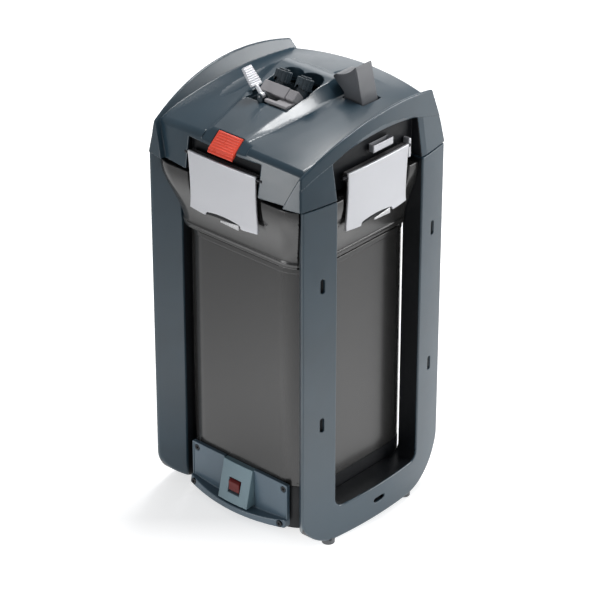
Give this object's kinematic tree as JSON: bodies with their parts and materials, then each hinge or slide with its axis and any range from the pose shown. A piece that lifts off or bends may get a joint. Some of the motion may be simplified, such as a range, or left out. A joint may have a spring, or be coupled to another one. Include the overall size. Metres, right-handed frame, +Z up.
{
  "type": "canister filter",
  "caption": "Upright square canister filter with window side frames, a clipped pump head with a primer, hose adapter and control panel.",
  "frame": {"origin": "centre of the footprint on the floor under the feet", "axes": "+Z up, front with the control panel faces -Y, primer on the +X side"},
  "size_m": [0.302, 0.305, 0.6426],
  "materials": {
    "slate_plastic": "satin, fine grain",
    "smoke_plastic": "smoke tinted, satin gloss",
    "black_plastic": "gloss",
    "foot_rubber": "matt",
    "steel": "brushed",
    "dark_steel": "blackened",
    "panel_plastic": "satin",
    "panel_accent": "satin",
    "red_plastic": "gloss",
    "board": "lacquered",
    "basket_plastic": "satin",
    "media": "matt",
    "fleece": "fibrous",
    "foam": "open cell",
    "clip_plastic": "satin silver",
    "winding": "lacquered",
    "white_ceramic": "polished",
    "sail_plastic": "satin",
    "adapter_plastic": "satin",
    "nut_plastic": "satin"
  },
  "bodies": {
    "can": {"can_shell": "smoke_plastic", "can_collar": "smoke_plastic", "left_frame": "slate_plastic", "right_frame": "slate_plastic", "base_tray": "black_plastic", "feet": "foot_rubber", "frame_screws": "steel", "front_panel": "panel_plastic", "panel_block": "panel_accent", "panel_screws": "dark_steel", "control_board": "board", "power_gland": "foot_rubber", "floor_grate": "basket_plastic", "standpipe": "basket_plastic", "lower_basket": "basket_plastic", "middle_basket": "basket_plastic", "upper_basket": "basket_plastic", "prefilter_tray": "basket_plastic", "ceramic_media": "media", "middle_media": "media", "fine_pad": "fleece", "coarse_pad": "foam"},
    "switch": {"power_switch": "red_plastic"},
    "head": {"head_base": "black_plastic", "seal_ring": "foot_rubber", "head_cover": "slate_plastic", "well_liner": "black_plastic", "clip_pins": "steel", "motor_stator": "winding", "pump_shaft": "white_ceramic", "shaft_bushes": "foot_rubber", "impeller_cover": "black_plastic", "primer_cylinder": "black_plastic", "primer_spring": "steel", "lever_pin": "steel"},
    "clip_f": {"clip_front": "clip_plastic"},
    "clip_b": {"clip_back": "clip_plastic"},
    "clip_l": {"clip_left": "clip_plastic"},
    "clip_r": {"clip_right": "clip_plastic"},
    "rotor": {"rotor": "black_plastic"},
    "primer": {"primer_button": "sail_plastic"},
    "adapter": {"hose_adapter": "adapter_plastic"},
    "nut_l": {"nut_left": "nut_plastic"},
    "nut_r": {"nut_right": "nut_plastic"},
    "lever": {"lock_lever": "clip_plastic"},
    "tab": {"flow_tab": "red_plastic"}
  },
  "joints": [
    {"name": "head_lift", "type": "slide", "parent": "can", "child": "head", "axis": [0, 0, 1], "range_m": [0, 0.15]},
    {"name": "clip_front_hinge", "type": "hinge", "parent": "head", "child": "clip_f", "pos_m": [0, -0.141, 0.54], "axis": [-1, 0, 0], "range_deg": [0, 100]},
    {"name": "clip_back_hinge", "type": "hinge", "parent": "head", "child": "clip_b", "pos_m": [0, 0.141, 0.54], "axis": [1, 0, 0], "range_deg": [0, 100]},
    {"name": "clip_left_hinge", "type": "hinge", "parent": "head", "child": "clip_l", "pos_m": [-0.137, 0, 0.54], "axis": [0, 1, 0], "range_deg": [0, 100]},
    {"name": "clip_right_hinge", "type": "hinge", "parent": "head", "child": "clip_r", "pos_m": [0.137, 0, 0.54], "axis": [0, -1, 0], "range_deg": [0, 100]},
    {"name": "rotor_spin", "type": "hinge", "parent": "head", "child": "rotor", "pos_m": [-0.04, 0.052, 0.5], "axis": [0, 0, 1], "continuous": true},
    {"name": "primer_stroke", "type": "slide", "parent": "head", "child": "primer", "axis": [0, 0, 1], "range_m": [0, 0.02], "stiffness_N_per_m": 60, "deforming": ["primer_spring"]},
    {"name": "adapter_lift", "type": "slide", "parent": "head", "child": "adapter", "axis": [0, 0, 1], "range_m": [0, 0.05]},
    {"name": "lever_swing", "type": "hinge", "parent": "head", "child": "lever", "pos_m": [-0.018, -0.0477, 0.602], "axis": [0, 1, 0], "range_deg": [-46, 60]},
    {"name": "tab_press", "type": "slide", "parent": "head", "child": "tab", "axis": [0, -0.7547, -0.6561], "range_m": [0, 0.004], "stiffness_N_per_m": 80},
    {"name": "switch_rock", "type": "hinge", "parent": "can", "child": "switch", "pos_m": [0, -0.122, 0.048], "axis": [1, 0, 0], "range_deg": [0, 14]},
    {"name": "nut_left_turn", "type": "hinge", "parent": "adapter", "child": "nut_l", "pos_m": [-0.0187, -0.016, 0.598], "axis": [0, 0.4695, 0.8829], "continuous": true},
    {"name": "nut_right_turn", "type": "hinge", "parent": "adapter", "child": "nut_r", "pos_m": [0.0187, -0.016, 0.598], "axis": [0, 0.4695, 0.8829], "continuous": true}
  ]
}
